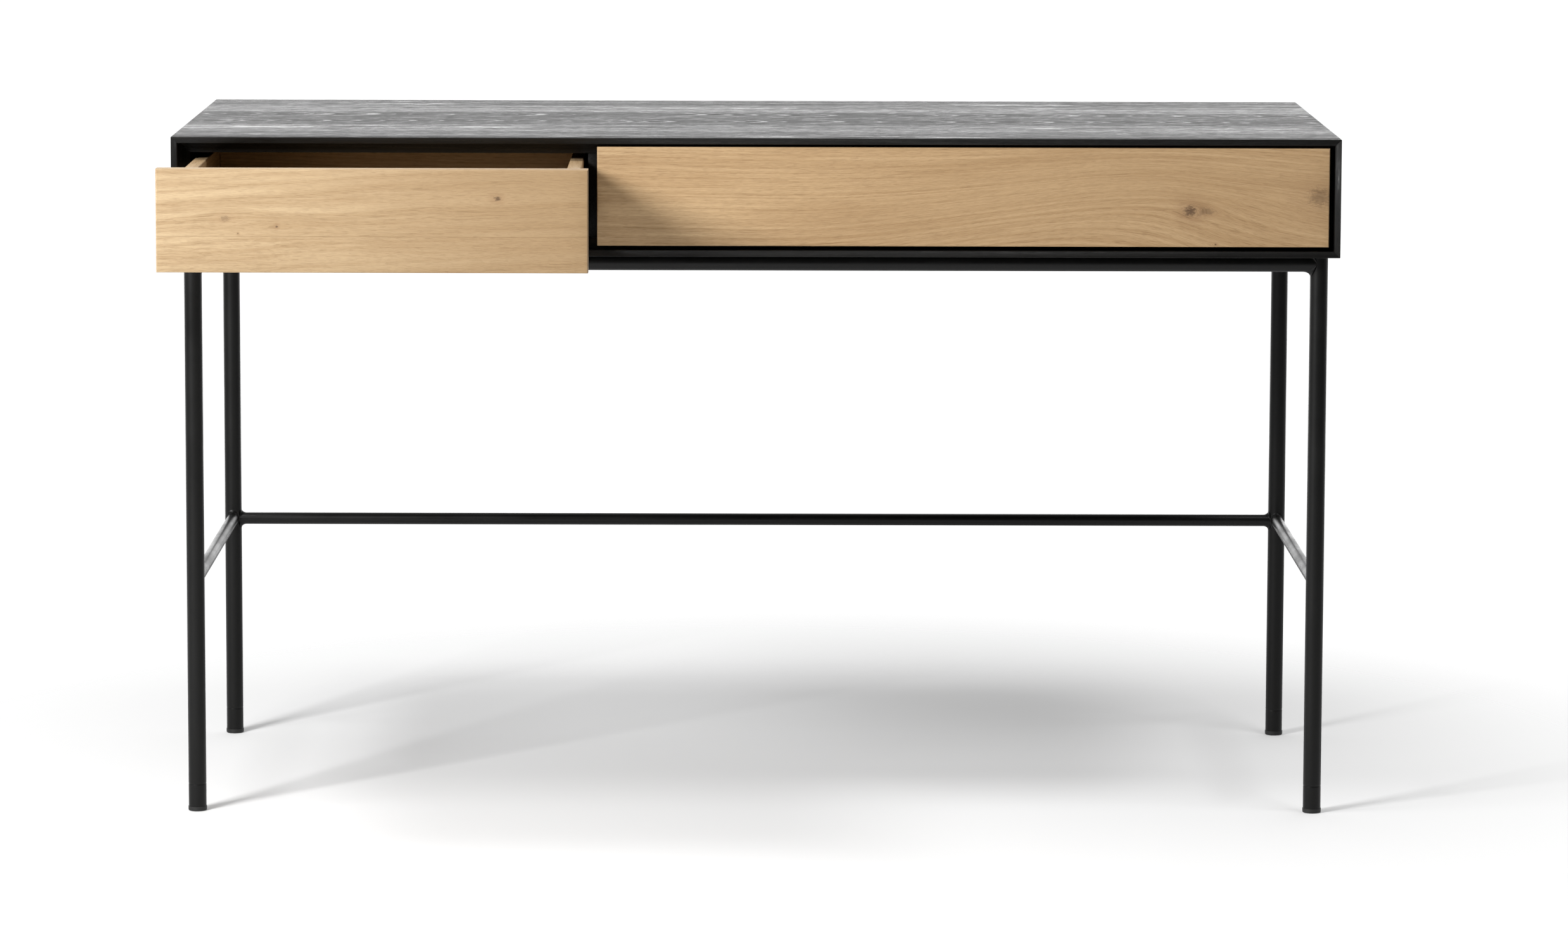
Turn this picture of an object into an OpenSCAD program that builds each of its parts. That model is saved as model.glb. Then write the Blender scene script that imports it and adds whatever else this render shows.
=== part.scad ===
// Writing desk: a thin black-stained casing with two oak drawers, standing on a welded steel tube frame.
// Millimetres. X runs across the desk, -Y is the front, Z is up and the floor is z = 0.
// The origin is on the floor, in the middle of the desk's width and midway between the back of the
// casing and the front of the left drawer as it stands open.

/* [Desk] */
// Overall width of the casing
desk_w = 1300; // [1000:10:1600]
// Depth of the casing, front edge to back edge
desk_d = 600; // [560:10:700]
// Height of the desk top above the floor
desk_h = 765; // [700:5:800]
// How far the left drawer stands open
left_open = 320; // [0:10:320]

/* [Casing] */
// Outside height of the casing that holds the drawers
casing_h = 132; // [120:1:160]
// Thickness of the casing boards and the divider
board_t = 19; // [16:1:22]
// Thickness of the front lip that the rebate leaves on each board
lip_t = 7; // [5:0.5:10]
// Depth of the rebate that the drawer fronts close into
rebate_d = 25; // [24:1:30]
// Thickness of the back panel
back_t = 9; // [6:1:12]
// How far the back panel is set in from the back edge
back_set = 8; // [5:1:15]

/* [Drawers] */
// Width of the left drawer front
left_front_w = 458; // [300:1:700]
// Height of both drawer fronts
front_h = 110; // [96:1:110]
// Thickness of the drawer fronts
front_t = 22; // [18:1:23]
// Gap between a drawer front and the lip at either side
side_gap = 6; // [4:0.5:8]
// Gap between a drawer front and the lip above it
top_gap = 3; // [2:0.5:4]
// Gap between the two drawer fronts
middle_gap = 2; // [2:0.5:4]
// Length of the drawer sides, behind the front
box_d = 500; // [400:10:500]
// Height of the drawer sides
box_h = 74; // [60:1:74]
// Thickness of the drawer sides and back
side_t = 15; // [12:1:16]
// Thickness of the drawer bottoms
bottom_t = 6; // [4:1:8]

/* [Frame] */
// Outside diameter of the legs
leg_tube = 20; // [20:1:25]
// Outside diameter of the rails under the casing
rail_tube = 19; // [16:1:19]
// Outside diameter of the lower stretchers
stretcher_tube = 14; // [12:1:16]
// Wall thickness of every tube
wall = 1.5; // [1:0.5:2]
// Leg axis to the side of the casing
leg_inset_x = 20; // [18:1:40]
// Leg axis to the front or back of the casing
leg_inset_y = 40; // [30:1:60]
// Height of the stretchers above the floor
stretcher_z = 262; // [150:1:350]

/* [Hidden] */
$fn = 48;

BAYS = ["left", "right"];
SIDES = ["left", "right"];
FRONT_BACK = ["front", "back"];

// casing
front_y = (left_open - desk_d) / 2;
back_y = front_y + desk_d;
casing_z = desk_h - casing_h;
inner_x = desk_w / 2 - board_t;
inner_z = [casing_z + board_t, desk_h - board_t];
groove_d = 6;
back_panel_y = [back_y - back_set - back_t, back_y - back_set];
biscuit = [56, 4, 14];
biscuit_places = [0.15, 0.5, 0.85];
dowel_r = 4;
dowel_l = 28;
divider_dowel_places = [0.2, 0.5, 0.8];

// drawer bays and fronts
reveal = lip_t + side_gap;
split_x = -desk_w / 2 + reveal + left_front_w + middle_gap / 2;
divider_x = split_x;
bay_x = [[-inner_x, divider_x - board_t / 2], [divider_x + board_t / 2, inner_x]];
front_x = [[-desk_w / 2 + reveal, split_x - middle_gap / 2], [split_x + middle_gap / 2, desk_w / 2 - reveal]];
front_top = desk_h - lip_t - top_gap;
front_z = [front_top - front_h, front_top];
drawer_y = [front_y - left_open, front_y];
edge_ease = 1.5;

// drawer boxes
box_clear = 5;
box_top_clear = 7;
box_z = [inner_z[1] - box_top_clear - box_h, inner_z[1] - box_top_clear];
bottom_up = 13;
bottom_z = box_z[0] + bottom_up;
box_dowel_l = 28;
box_dowel_depth = 12;
box_dowel_in = 10;
box_dowel_z = [box_z[0] + 30, box_z[1] - 14];

// runners: u is the distance from the side of the bay, w the height above its floor
steel_t = 1.6;
rail_u = [22, 44];
rail_top = bottom_z - inner_z[0];
cabinet_rail_w = 2;
cabinet_rail_h = 10;
flange_h = 34;
carriage_w = 13.2;
middle_u = [26, 40];
middle_w = [7, 21];
cabinet_rail_l = 500;
middle_rail_l = 450;
carriage_l = 440;
runner_front = rebate_d + 2;
middle_rail_front = 64;
clip_l = 38;
clip_t = 4;
clip_screw_places = [0.25, 0.75];
clip_screw_l = 8;
clip_screw_r = 1.75;
clip_screw_head_r = 3.5;
roller_r = 1.4;
roller_inset = 1;
roller_places = [0.08, 0.5, 0.92];
runner_screw_w = 28;
runner_screw_places = [40, 250, 460];
runner_screw_l = 8;
flat_head_h = 1.6;

// steel frame
leg_x = desk_w / 2 - leg_inset_x;
leg_y = [front_y + leg_inset_y, back_y - leg_inset_y];
glide_h = 5;
glide_r = leg_tube / 2 + 0.5;
glide_stem = 20;
glide_ease = 1.5;
rail_z = casing_z - rail_tube / 2;
tab = [30, 26, 3];
tab_hole_r = 2.25;
tab_hole_in = 20;
tab_x = [-0.62 * leg_x, 0, 0.62 * leg_x];
tab_side_y = (front_y + back_y) / 2;
screw_r = 2;
screw_head_r = 4;
screw_head_h = 2.4;
screw_depth = 13;

// ---- shared shapes ----

// A box between two corners, each axis given as [low, high].
module block(x, y, z) {
    translate([x[0], y[0], z[0]])
        cube([x[1] - x[0], y[1] - y[0], z[1] - z[0]]);
}

// A round bar along X, Y or Z that starts at a point.
module bar_x(r, l) rotate([0, 90, 0]) cylinder(r = r, h = l);
module bar_y(r, l) rotate([-90, 0, 0]) cylinder(r = r, h = l);

// Extrudes a profile drawn in Y and Z along +X.
module along_x(l) rotate([90, 0, 90]) linear_extrude(l) children();

// Extrudes a profile drawn in X and Z along +Y.
module along_y(l) translate([0, l, 0]) rotate([90, 0, 0]) linear_extrude(l) children();

// ---- casing ----

// Section of a casing board, depth against thickness: lip and rebate in front, groove at the back.
module board_section() {
    groove = [back_panel_y[0] - front_y, back_panel_y[1] - front_y];
    polygon([
        [0, 0], [desk_d, 0], [desk_d, -board_t],
        [groove[1], -board_t], [groove[1], groove_d - board_t],
        [groove[0], groove_d - board_t], [groove[0], -board_t],
        [rebate_d, -board_t], [rebate_d, -lip_t], [0, -lip_t]
    ]);
}

// A board with both ends mitred, its outer face up and its front edge at y = 0.
module mitred_board(l) {
    intersection() {
        translate([-l / 2, 0, 0]) along_x(l) board_section();
        along_y(desk_d) polygon([
            [-l / 2, 0], [l / 2, 0], [l / 2 - board_t, -board_t], [board_t - l / 2, -board_t]
        ]);
    }
}

// The biscuits across the four mitres, three along each.
module biscuit_set() {
    for (sx = [-1, 1], sz = [-1, 1], p = biscuit_places)
        translate([
            sx * (desk_w / 2 - board_t / 2),
            front_y + p * desk_d,
            desk_h - casing_h / 2 + sz * (casing_h / 2 - board_t / 2)
        ])
            rotate([0, sx * sz * 45, 0])
                cube([biscuit[2], biscuit[0], biscuit[1]], center = true);
}

// The dowels that hold the divider between the top and the bottom board.
module divider_dowel_set() {
    for (p = divider_dowel_places, z = inner_z)
        translate([divider_x, front_y + rebate_d + p * (back_panel_y[0] - front_y - rebate_d), z - dowel_l / 2])
            cylinder(r = dowel_r, h = dowel_l);
}

// The screws that hold a bay's two cabinet rails, pointing into the boards.
module runner_screw_set() {
    for (b = [0, 1], s = [0, 1], p = runner_screw_places)
        at_bay_side(b, s)
            translate([-runner_screw_l, front_y + runner_front + p, inner_z[0] + runner_screw_w]) {
                bar_x(screw_r, runner_screw_l + steel_t);
                translate([runner_screw_l + steel_t, 0, 0]) bar_x(screw_head_r, flat_head_h);
            }
}

module casing_top() {
    color("#2b2a28") difference() {
        translate([0, front_y, desk_h]) mitred_board(desk_w);
        biscuit_set();
        divider_dowel_set();
    }
}

module casing_bottom() {
    color("#2b2a28") difference() {
        translate([0, front_y, casing_z]) mirror([0, 0, 1]) mitred_board(desk_w);
        biscuit_set();
        divider_dowel_set();
        frame_screw_set();
    }
}

// One side of the casing, side -1 left and 1 right.
module casing_side(side) {
    color("#2b2a28") difference() {
        translate([side * desk_w / 2, front_y, desk_h - casing_h / 2])
            rotate([0, side * 90, 0]) mitred_board(casing_h);
        biscuit_set();
        runner_screw_set();
    }
}

module casing_divider() {
    color("#2b2a28") difference() {
        block([bay_x[0][1], bay_x[1][0]], [front_y + rebate_d, back_panel_y[0]], inner_z);
        divider_dowel_set();
        runner_screw_set();
    }
}

module casing_back_panel() {
    color("#242322")
        block([-inner_x - groove_d, inner_x + groove_d], back_panel_y,
              [inner_z[0] - groove_d, inner_z[1] + groove_d]);
}

module mitre_biscuits() {
    color("#d8bf94") biscuit_set();
}

module divider_dowels() {
    color("#d8bf94") divider_dowel_set();
}

module runner_screws() {
    color("#b8b8b4") runner_screw_set();
}

// ---- steel frame ----

module leg_solids() {
    for (x = [-leg_x, leg_x], y = leg_y)
        translate([x, y, 0]) cylinder(d = leg_tube, h = casing_z);
}

module leg(x, y) {
    color("#2c2c2a") translate([x, y, glide_h]) difference() {
        cylinder(d = leg_tube, h = casing_z - glide_h);
        translate([0, 0, -1]) cylinder(d = leg_tube - 2 * wall, h = casing_z);
    }
}

// A pressed-in plastic glide with its lower edge rounded over.
module glide(x, y) {
    color("#1b1b1b") translate([x, y, 0]) rotate_extrude() polygon(concat(
        [[0, 0]],
        [for (a = [-90:22.5:0]) [
            glide_r - glide_ease + glide_ease * cos(a), glide_ease + glide_ease * sin(a)]],
        [[glide_r, glide_h], [leg_tube / 2 - wall, glide_h],
         [leg_tube / 2 - wall, glide_h + glide_stem], [0, glide_h + glide_stem]]
    ));
}

// A solid bar across the desk from leg axis to leg axis, longer at both ends by `over`.
module cross_bar(y, z, d, over) {
    translate([-leg_x - over, y, z]) bar_x(d / 2, 2 * (leg_x + over));
}

// A tube across the desk, its ends coped to the legs.
module cross_tube(y, z, d) {
    color("#2c2c2a") difference() {
        cross_bar(y, z, d, 0);
        cross_bar(y, z, d - 2 * wall, 1);
        leg_solids();
    }
}

// A tube from the front leg to the back leg, coped to the legs and to the cross rails.
module side_tube(x, z, d) {
    color("#2c2c2a") difference() {
        translate([x, leg_y[0], z]) bar_y(d / 2, leg_y[1] - leg_y[0]);
        translate([x, leg_y[0] - 1, z]) bar_y(d / 2 - wall, leg_y[1] - leg_y[0] + 2);
        leg_solids();
        if (z == rail_z)
            for (y = leg_y) cross_bar(y, rail_z, rail_tube, 0);
    }
}

// Where each fixing tab is welded: the point on a rail's axis, and the turn that faces it inboard.
tab_places = concat(
    [for (x = tab_x) [x, leg_y[0], 0]],
    [for (x = tab_x) [x, leg_y[1], 180]],
    [[-leg_x, tab_side_y, -90], [leg_x, tab_side_y, 90]]
);

module fixing_tabs() {
    color("#2c2c2a") for (t = tab_places)
        translate([t[0], t[1], casing_z]) rotate(t[2]) difference() {
            translate([-tab[0] / 2, 0, -tab[2]]) cube(tab);
            translate([-tab[0], 0, -rail_tube / 2]) bar_x(rail_tube / 2, 2 * tab[0]);
            translate([0, tab_hole_in, -2 * tab[2]]) cylinder(r = tab_hole_r, h = 3 * tab[2]);
        }
}

// The screws that go up through the tabs into the casing.
module frame_screw_set() {
    for (t = tab_places)
        translate([t[0], t[1], casing_z - tab[2]]) rotate(t[2]) translate([0, tab_hole_in, 0]) {
            cylinder(r = screw_r, h = tab[2] + screw_depth);
            translate([0, 0, -screw_head_h]) cylinder(r = screw_head_r, h = screw_head_h);
        }
}

module frame_screws() {
    color("#3a3a38") frame_screw_set();
}

// ---- runners ----

// Draws its children at one side of a bay, with +X pointing into the bay.
module at_bay_side(b, s) {
    translate([bay_x[b][s], 0, 0]) mirror([s, 0, 0]) children();
}

// The rail screwed to the bay: a flange on the board, a web under the drawer side and a channel.
module cabinet_rail(b, s) {
    top = cabinet_rail_w + cabinet_rail_h;
    color("#a9aaa8") difference() {
        at_bay_side(b, s)
            translate([0, front_y + runner_front, inner_z[0]])
                along_y(cabinet_rail_l) polygon([
                    [0, cabinet_rail_w], [rail_u[1], cabinet_rail_w], [rail_u[1], top],
                    [rail_u[1] - steel_t, top], [rail_u[1] - steel_t, cabinet_rail_w + steel_t],
                    [rail_u[0] + steel_t, cabinet_rail_w + steel_t], [rail_u[0] + steel_t, top],
                    [rail_u[0], top], [rail_u[0], cabinet_rail_w + steel_t],
                    [steel_t, cabinet_rail_w + steel_t], [steel_t, cabinet_rail_w + flange_h],
                    [0, cabinet_rail_w + flange_h]
                ]);
        runner_screw_set();
    }
}

// The box-section rail between the other two, which travels half as far as the drawer.
module middle_rail(b, s) {
    color("#c2c3c0") at_bay_side(b, s)
        translate([0, front_y + middle_rail_front - open_of(b) / 2, inner_z[0]])
            along_y(middle_rail_l) difference() {
                translate([middle_u[0], middle_w[0]])
                    square([middle_u[1] - middle_u[0], middle_w[1] - middle_w[0]]);
                translate([middle_u[0] + steel_t, middle_w[0] + steel_t])
                    square([middle_u[1] - middle_u[0], middle_w[1] - middle_w[0]] - 2 * [steel_t, steel_t]);
            }
}

// Nylon rollers above and below each middle rail.
module rollers(b) {
    color("#e8e6df") for (s = [0, 1], p = roller_places, w = [middle_w[0] - roller_r, middle_w[1] + roller_r])
        at_bay_side(b, s)
            translate([middle_u[0] + roller_inset,
                       front_y + middle_rail_front - open_of(b) / 2 + p * middle_rail_l, inner_z[0] + w])
                bar_x(roller_r, middle_u[1] - middle_u[0] - 2 * roller_inset);
}

// The rail under the drawer bottom, an inverted channel over the middle rail.
module drawer_rail(b, s) {
    color("#a9aaa8") at_bay_side(b, s)
        translate([0, drawer_front_y(b) + front_t + clip_l, inner_z[0]])
            along_y(carriage_l) polygon([
                [rail_u[0], carriage_w], [rail_u[0], rail_top], [rail_u[1], rail_top],
                [rail_u[1], carriage_w], [rail_u[1] - steel_t, carriage_w],
                [rail_u[1] - steel_t, rail_top - steel_t], [rail_u[0] + steel_t, rail_top - steel_t],
                [rail_u[0] + steel_t, carriage_w]
            ]);
}

// ---- drawers ----

// How far a drawer stands open, and where the face of its front is.
function open_of(b) = b == 0 ? left_open : 0;
function drawer_front_y(b) = front_y - open_of(b);
// The outside of a drawer box across the bay.
function box_x(b) = [bay_x[b][0] + box_clear, bay_x[b][1] - box_clear];
function box_back_y(b) = drawer_front_y(b) + front_t + box_d;

// Dowels from the sides into the front, and from the sides into the back.
module drawer_dowel_set(b) {
    y0 = drawer_front_y(b);
    for (s = [0, 1], z = box_dowel_z) {
        side_mid = s == 0 ? box_x(b)[0] + side_t / 2 : box_x(b)[1] - side_t / 2;
        translate([side_mid, y0 + front_t - box_dowel_depth, z])
            bar_y(dowel_r, box_dowel_l);
        translate([box_x(b)[s], box_back_y(b) - side_t / 2, z])
            mirror([s, 0, 0]) translate([side_t - box_dowel_in, 0, 0]) bar_x(dowel_r, box_dowel_l);
    }
}

// The bottom panel, held in grooves in the front and both sides.
module bottom_panel(b) {
    block([box_x(b)[0] + side_t - groove_d, box_x(b)[1] - side_t + groove_d],
          [drawer_front_y(b) + front_t - groove_d, box_back_y(b)],
          [bottom_z, bottom_z + bottom_t]);
}

// A solid oak front with the edges of its face eased.
module drawer_front(b) {
    l = front_x[b][1] - front_x[b][0];
    color("#d9bb8c") difference() {
        intersection() {
            translate([front_x[b][0], drawer_front_y(b), front_z[0]])
                along_x(l) eased_section(front_t, front_h);
            translate([front_x[b][0], drawer_front_y(b), front_z[0]])
                linear_extrude(front_h) mirror([1, -1, 0]) eased_section(front_t, l);
        }
        bottom_panel(b);
        drawer_dowel_set(b);
    }
}

// A rectangle from the origin with the two corners on its left cut off.
module eased_section(x, y) {
    polygon([[edge_ease, 0], [x, 0], [x, y], [edge_ease, y], [0, y - edge_ease], [0, edge_ease]]);
}

module drawer_side(b, s) {
    x = s == 0 ? [box_x(b)[0], box_x(b)[0] + side_t] : [box_x(b)[1] - side_t, box_x(b)[1]];
    color("#dcc196") difference() {
        block(x, [drawer_front_y(b) + front_t, box_back_y(b)], box_z);
        bottom_panel(b);
        drawer_dowel_set(b);
    }
}

module drawer_back(b) {
    color("#dcc196") difference() {
        block([box_x(b)[0] + side_t, box_x(b)[1] - side_t],
              [box_back_y(b) - side_t, box_back_y(b)], [bottom_z + bottom_t, box_z[1]]);
        drawer_dowel_set(b);
    }
}

module drawer_bottom(b) {
    color("#d2b384") difference() {
        bottom_panel(b);
        clip_screw_set(b);
    }
}

module drawer_dowels(b) {
    color("#d8bf94") drawer_dowel_set(b);
}

// The two clips under the bottom that lock the drawer onto its rails.
module drawer_clips(b) {
    color("#8d8f90") difference() {
        for (s = [0, 1])
            at_bay_side(b, s)
                block(rail_u, [drawer_front_y(b) + front_t, drawer_front_y(b) + front_t + clip_l],
                      [bottom_z - clip_t, bottom_z]);
        clip_screw_set(b);
    }
}

// Two screws up through each clip into the bottom panel, heads let into the clip.
module clip_screw_set(b) {
    for (s = [0, 1], p = clip_screw_places)
        at_bay_side(b, s)
            translate([(rail_u[0] + rail_u[1]) / 2, drawer_front_y(b) + front_t + p * clip_l, bottom_z - clip_t]) {
                cylinder(r = clip_screw_r, h = clip_screw_l);
                cylinder(r = clip_screw_head_r, h = flat_head_h);
            }
}

module drawer_clip_screws(b) {
    color("#b8b8b4") clip_screw_set(b);
}

// ---- the nodes ----

casing_top();
casing_bottom();
casing_side(-1);  // casing_left_side
casing_side(1);  // casing_right_side
casing_divider();
casing_back_panel();
mitre_biscuits();
divider_dowels();

for (f = [0, 1], s = [0, 1]) {
    x = s == 0 ? -leg_x : leg_x;
    leg(x, leg_y[f]);
    glide(x, leg_y[f]);
}

cross_tube(leg_y[0], rail_z, rail_tube);  // top_rail_front
cross_tube(leg_y[1], rail_z, rail_tube);  // top_rail_back
side_tube(-leg_x, rail_z, rail_tube);  // top_rail_left
side_tube(leg_x, rail_z, rail_tube);  // top_rail_right
side_tube(-leg_x, stretcher_z, stretcher_tube);  // stretcher_left
side_tube(leg_x, stretcher_z, stretcher_tube);  // stretcher_right
cross_tube(leg_y[1], stretcher_z, stretcher_tube);  // stretcher_back
fixing_tabs();
frame_screws();
runner_screws();

for (b = [0, 1]) {
    for (s = [0, 1]) {
        cabinet_rail(b, s);
        middle_rail(b, s);
        drawer_rail(b, s);
        drawer_side(b, s);
    }
    rollers(b);
    drawer_front(b);
    drawer_back(b);
    drawer_bottom(b);
    drawer_dowels(b);
    drawer_clips(b);
    drawer_clip_screws(b);
}
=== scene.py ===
import math

import bpy
from mathutils import Matrix, Vector


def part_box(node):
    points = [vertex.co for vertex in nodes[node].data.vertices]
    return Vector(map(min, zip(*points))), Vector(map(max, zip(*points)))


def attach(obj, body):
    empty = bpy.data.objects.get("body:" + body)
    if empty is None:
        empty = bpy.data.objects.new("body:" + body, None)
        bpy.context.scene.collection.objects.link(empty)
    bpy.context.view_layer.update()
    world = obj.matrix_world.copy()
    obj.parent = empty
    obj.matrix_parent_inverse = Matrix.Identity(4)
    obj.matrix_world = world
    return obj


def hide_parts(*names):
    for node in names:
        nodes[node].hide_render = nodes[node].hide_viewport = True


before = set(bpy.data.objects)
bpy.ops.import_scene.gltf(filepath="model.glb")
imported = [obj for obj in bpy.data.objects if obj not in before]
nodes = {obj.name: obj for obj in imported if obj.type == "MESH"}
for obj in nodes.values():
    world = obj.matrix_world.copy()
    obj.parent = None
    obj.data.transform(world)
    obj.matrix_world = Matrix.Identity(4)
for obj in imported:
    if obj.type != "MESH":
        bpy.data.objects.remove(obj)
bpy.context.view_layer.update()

# ---- Camera ----
# A long lens seven metres in front of the desk, a little above its top and tilted slightly down.
camera_data = bpy.data.cameras.new("camera")
camera_data.sensor_width = 36
camera_data.lens = 144.02
camera = bpy.data.objects.new("camera", camera_data)
bpy.context.scene.collection.objects.link(camera)
turn, tilt, lean = (math.radians(a) for a in (-0.325, -7.341, -0.173))
aim = Matrix.Rotation(turn, 4, "Z") @ Matrix.Rotation(tilt, 4, "X") @ Matrix.Rotation(lean, 4, "Y")
upright = Matrix.Rotation(math.radians(90), 4, "X")
eye = (-0.0079, -7.0897, 1.2895)
camera.matrix_world = Matrix.Translation(eye) @ aim @ upright
bpy.context.scene.camera = camera

# ---- Studio ----
# A matt white floor that fades into a white surround: to the camera beyond an oval round the desk, and
# to the light further out. A soft box stands beside the camera on the left and two hang above the desk.
# The room is dim on the camera's side, so that black surfaces stay black.
floor_r = 3.4
fade_w = 1.0
seen_middle = (0.0, 0.15, 0.0)
seen_size = (1.35, 1.45, 1.0)
seen_core = 0.34
floor_white = (0.86, 0.86, 0.86, 1)


def add_node(tree, kind, inputs=None, **settings):
    """Adds a node to a tree, with its settings, and gives its inputs a value or a link."""
    node = tree.nodes.new(kind)
    for key, value in settings.items():
        setattr(node, key, value)
    for key, value in (inputs or {}).items():
        if isinstance(value, bpy.types.NodeSocket):
            tree.links.new(value, node.inputs[key])
        else:
            node.inputs[key].default_value = value
    return node


def sums(tree, operation, *values, clamp=False):
    """A Math node on two or three values; gives its output."""
    inputs = dict(enumerate(values))
    return add_node(tree, "ShaderNodeMath", inputs, operation=operation, use_clamp=clamp).outputs[0]


def vector_sum(tree, operation, first, second=(0, 0, 0), output=0):
    """A Vector Math node on two vectors, or on a vector and a scale."""
    other = {"Scale": second} if operation == "SCALE" else {1: second}
    return add_node(tree, "ShaderNodeVectorMath", {0: first, **other}, operation=operation).outputs[output]


def ramp(tree, value, low, high, to_low=0.0, to_high=1.0):
    """Value carried smoothly from the range low..high to to_low..to_high."""
    inputs = {"Value": value, "From Min": low, "From Max": high, "To Min": to_low, "To Max": to_high}
    node = add_node(tree, "ShaderNodeMapRange", inputs, interpolation_type="SMOOTHSTEP")
    return node.outputs["Result"]


def new_material(name):
    """An empty material; gives it, its node tree and its output node."""
    material = bpy.data.materials.new(name)
    material.use_nodes = True
    material.node_tree.nodes.clear()
    output = add_node(material.node_tree, "ShaderNodeOutputMaterial")
    return material, material.node_tree, output


def deselect():
    """Leaves edit mode and selects nothing."""
    if bpy.context.object and bpy.context.object.mode != "OBJECT":
        bpy.ops.object.mode_set(mode="OBJECT")
    bpy.ops.object.select_all(action="DESELECT")


deselect()
bpy.ops.mesh.primitive_circle_add(vertices=96, radius=floor_r, fill_type="NGON")
floor = bpy.context.object
floor.name = "floor"
material, tree, output = new_material("white_floor")
place = add_node(tree, "ShaderNodeTexCoord").outputs["Object"]
far = ramp(tree, vector_sum(tree, "LENGTH", place, output="Value"), floor_r - fade_w, floor_r)
near = vector_sum(tree, "DIVIDE", vector_sum(tree, "SUBTRACT", place, seen_middle), seen_size)
near = ramp(tree, vector_sum(tree, "LENGTH", near, output="Value"), seen_core, 1.0)
seen = add_node(tree, "ShaderNodeLightPath").outputs["Is Camera Ray"]
gone = add_node(tree, "ShaderNodeMix", {0: seen, 2: far, 3: near}, data_type="FLOAT").outputs[0]
under = add_node(tree, "ShaderNodeNewGeometry").outputs["Backfacing"]
gone = sums(tree, "MAXIMUM", gone, sums(tree, "MULTIPLY", under, seen))
paint = add_node(tree, "ShaderNodeBsdfDiffuse", {"Color": floor_white})
clear = add_node(tree, "ShaderNodeBsdfTransparent")
faded = add_node(tree, "ShaderNodeMixShader", {0: gone, 1: paint.outputs[0], 2: clear.outputs[0]})
tree.links.new(faded.outputs[0], output.inputs["Surface"])
floor.data.materials.append(material)

bpy.context.scene.view_settings.view_transform = "Standard"
world = bpy.data.worlds.new("studio")
bpy.context.scene.world = world
world.use_nodes = True
tree = world.node_tree
tree.nodes.clear()
direction = add_node(tree, "ShaderNodeTexCoord").outputs["Generated"]
axes = add_node(tree, "ShaderNodeSeparateXYZ", {0: direction})
behind = ramp(tree, axes.outputs["Y"], -0.7, 0.9, 0.0, 0.8)
facing = ramp(tree, axes.outputs["Y"], 0.6, 0.95)
low_down = ramp(tree, axes.outputs["Z"], 0.15, 0.5, 2.1, 0.0)
glow = sums(tree, "MULTIPLY_ADD", facing, low_down, behind)
seen = add_node(tree, "ShaderNodeLightPath").outputs["Is Camera Ray"]
seen_white = 1.05
strength = add_node(tree, "ShaderNodeMix", {0: seen, 2: glow, 3: seen_white}, data_type="FLOAT").outputs[0]
surround = add_node(tree, "ShaderNodeBackground", {"Color": (1, 1, 1, 1), "Strength": strength})
add_node(tree, "ShaderNodeOutputWorld", {"Surface": surround.outputs[0]})


def soft_box(name, place, target, width, height, power):
    """A rectangular area light at a place, turned to face a target."""
    data = bpy.data.lights.new(name, "AREA")
    data.shape = "RECTANGLE"
    data.size = width
    data.size_y = height
    data.energy = power
    lamp = bpy.data.objects.new(name, data)
    bpy.context.scene.collection.objects.link(lamp)
    lamp.location = place
    lamp.rotation_euler = (Vector(target) - Vector(place)).to_track_quat("-Z", "Y").to_euler()


soft_box("key_light", (-2.2, -2.45, 1.88), (0, -0.2, 0.65), 0.8, 0.8, 144)
soft_box("left_top_light", (-1.28, -0.83, 3.2), (0, 0.16, 0.3), 1.1, 0.4, 28)
soft_box("right_top_light", (1.44, -0.83, 3.2), (0, 0.16, 0.3), 1.1, 0.4, 26)

# ---- Casing boards ----
# Four boards of black-stained oak, edge-glued from staves and mitred at the corners. A wide rebate
# leaves a thin lip in front, and a groove near the back takes the back panel. Biscuits hold the mitres.
lip_t = 0.007
rebate_d = 0.025
groove_d = 0.006
board_ease = 0.0007
top_low, top_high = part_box("casing_top")
panel_low, panel_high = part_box("casing_back_panel")
board_t = top_high.z - top_low.z
board_depth = top_high.y - top_low.y
front_y = top_low.y
casing_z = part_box("casing_left_side")[0].z
desk_w = top_high.x - top_low.x


def new_group(name, inputs, outputs):
    """A shader node group with named sockets; gives its tree, its input node and its output node."""
    group = bpy.data.node_groups.new(name, "ShaderNodeTree")
    for label, kind in inputs.items():
        group.interface.new_socket(label, in_out="INPUT", socket_type="NodeSocket" + kind)
    for label, kind in outputs.items():
        group.interface.new_socket(label, in_out="OUTPUT", socket_type="NodeSocket" + kind)
    return group, add_node(group, "NodeGroupInput").outputs, add_node(group, "NodeGroupOutput").inputs


def use_group(tree, group, **inputs):
    """Places a group in a tree; spaces in the names of its inputs are written as underscores."""
    named = {key.replace("_", " "): value for key, value in inputs.items()}
    return add_node(tree, "ShaderNodeGroup", named, node_tree=group).outputs


def stretch(tree, vector, along, across):
    """A vector in grain space, scaled along the grain and across it."""
    return vector_sum(tree, "MULTIPLY", vector, (along, across, across))


def noise(tree, vector, detail=2.0, roughness=0.5, scale=1.0):
    """Noise on a vector."""
    inputs = {"Vector": vector, "Scale": scale, "Detail": detail, "Roughness": roughness}
    return add_node(tree, "ShaderNodeTexNoise", inputs)


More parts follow.
